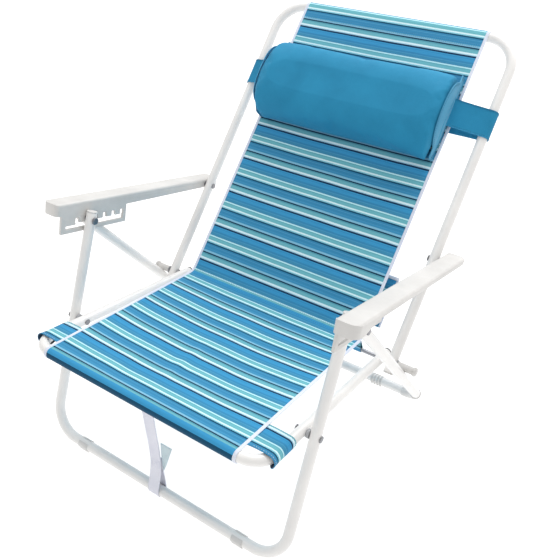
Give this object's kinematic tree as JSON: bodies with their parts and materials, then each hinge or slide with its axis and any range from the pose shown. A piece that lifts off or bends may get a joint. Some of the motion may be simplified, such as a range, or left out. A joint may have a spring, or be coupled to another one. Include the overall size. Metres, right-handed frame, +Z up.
{
  "type": "beach chair",
  "caption": "Low folding beach chair with a bent tube frame, striped fabric sling, ratchet armrests, a strapped head pillow and a rear pouch.",
  "frame": {"origin": "on the floor under the middle of the chair's overall width and depth", "axes": "X runs across the chair with +X at the sitter's left hand side, +Y points to the back, +Z up"},
  "size_m": [0.669, 0.896, 0.6931],
  "materials": {
    "frame_paint": "gloss white powder coat",
    "rod_steel": "plated",
    "rivet_steel": "dark plated",
    "dark_plastic": "moulded",
    "white_plastic": "moulded satin",
    "striped_cloth": "woven, printed stripes",
    "pillow_cloth": "woven polyester",
    "webbing": "woven webbing",
    "tab_cloth": "hook tape"
  },
  "bodies": {
    "seat": {"seat_frame": "frame_paint", "seat_tube_plugs": "dark_plastic", "cross_rod": "rod_steel", "stop_sleeves": "white_plastic", "rod_end_caps": "white_plastic", "rod_washers": "dark_plastic", "seat_leg_rivets": "rivet_steel", "seat_leg_spacers": "dark_plastic", "seat_sling": "striped_cloth", "left_wing": "striped_cloth", "right_wing": "striped_cloth", "rod_loop": "striped_cloth"},
    "back": {"back_frame": "frame_paint", "back_tube_caps": "white_plastic", "back_sling": "striped_cloth", "back_sling_lower": "striped_cloth", "rear_pouch": "striped_cloth"},
    "pillow": {"head_pillow": "pillow_cloth", "pillow_straps": "pillow_cloth"},
    "front_legs": {"front_leg_frame": "frame_paint", "front_leg_plugs": "white_plastic", "front_foot_clips": "white_plastic", "front_leg_pins": "rivet_steel", "carry_strap": "webbing", "closure_tab": "tab_cloth"},
    "rear_legs": {"rear_leg_frame": "frame_paint", "rear_leg_plugs": "white_plastic", "rear_foot_caps": "white_plastic", "rear_bar_sleeves": "white_plastic", "rear_leg_pins": "rivet_steel"},
    "left_arm_pivot": {"left_arm_rivet": "rivet_steel", "left_notch_pin": "rivet_steel"},
    "right_arm_pivot": {"right_arm_rivet": "rivet_steel", "right_notch_pin": "rivet_steel"},
    "left_arm": {"left_armrest": "white_plastic"},
    "right_arm": {"right_armrest": "white_plastic"}
  },
  "joints": [
    {"name": "back_fold", "type": "hinge", "parent": "seat", "child": "back", "pos_m": [0, -0.0305, 0.18], "axis": [1, 0, 0], "range_deg": [0, 103], "deforming": ["back_sling_lower"]},
    {"name": "front_leg_fold", "type": "hinge", "parent": "seat", "child": "front_legs", "pos_m": [0, -0.3195, 0.237], "axis": [1, 0, 0], "range_deg": [0, 97.6]},
    {"name": "rear_leg_fold", "type": "hinge", "parent": "front_legs", "child": "rear_legs", "pos_m": [0, -0.23707, 0.41923], "axis": [-1, 0, 0], "range_deg": [0, 68.4]},
    {"name": "left_arm_fold", "type": "hinge", "parent": "back", "child": "left_arm_pivot", "pos_m": [0, 0.11818, 0.33943], "axis": [-1, 0, 0], "range_deg": [0, 90.2]},
    {"name": "right_arm_fold", "type": "hinge", "parent": "back", "child": "right_arm_pivot", "pos_m": [0, 0.11818, 0.33943], "axis": [-1, 0, 0], "range_deg": [0, 90.2]},
    {"name": "left_arm_lift", "type": "hinge", "parent": "left_arm_pivot", "child": "left_arm", "pos_m": [0, 0.11818, 0.33943], "axis": [-1, 0, 0], "range_deg": [0, 1.75]},
    {"name": "right_arm_lift", "type": "hinge", "parent": "right_arm_pivot", "child": "right_arm", "pos_m": [0, 0.11818, 0.33943], "axis": [-1, 0, 0], "range_deg": [0, 1.75]},
    {"name": "pillow_slide", "type": "slide", "parent": "back", "child": "pillow", "axis": [0, 0.6989, 0.7153], "range_m": [-0.02, 0.03]}
  ],
  "couplings": [
    {"joint": "front_leg_fold", "follows": "back_fold", "ratio": 0.94757},
    {"joint": "rear_leg_fold", "follows": "back_fold", "ratio": 0.66408},
    {"joint": "left_arm_fold", "follows": "back_fold", "ratio": 0.87573},
    {"joint": "right_arm_fold", "follows": "back_fold", "ratio": 0.87573}
  ]
}
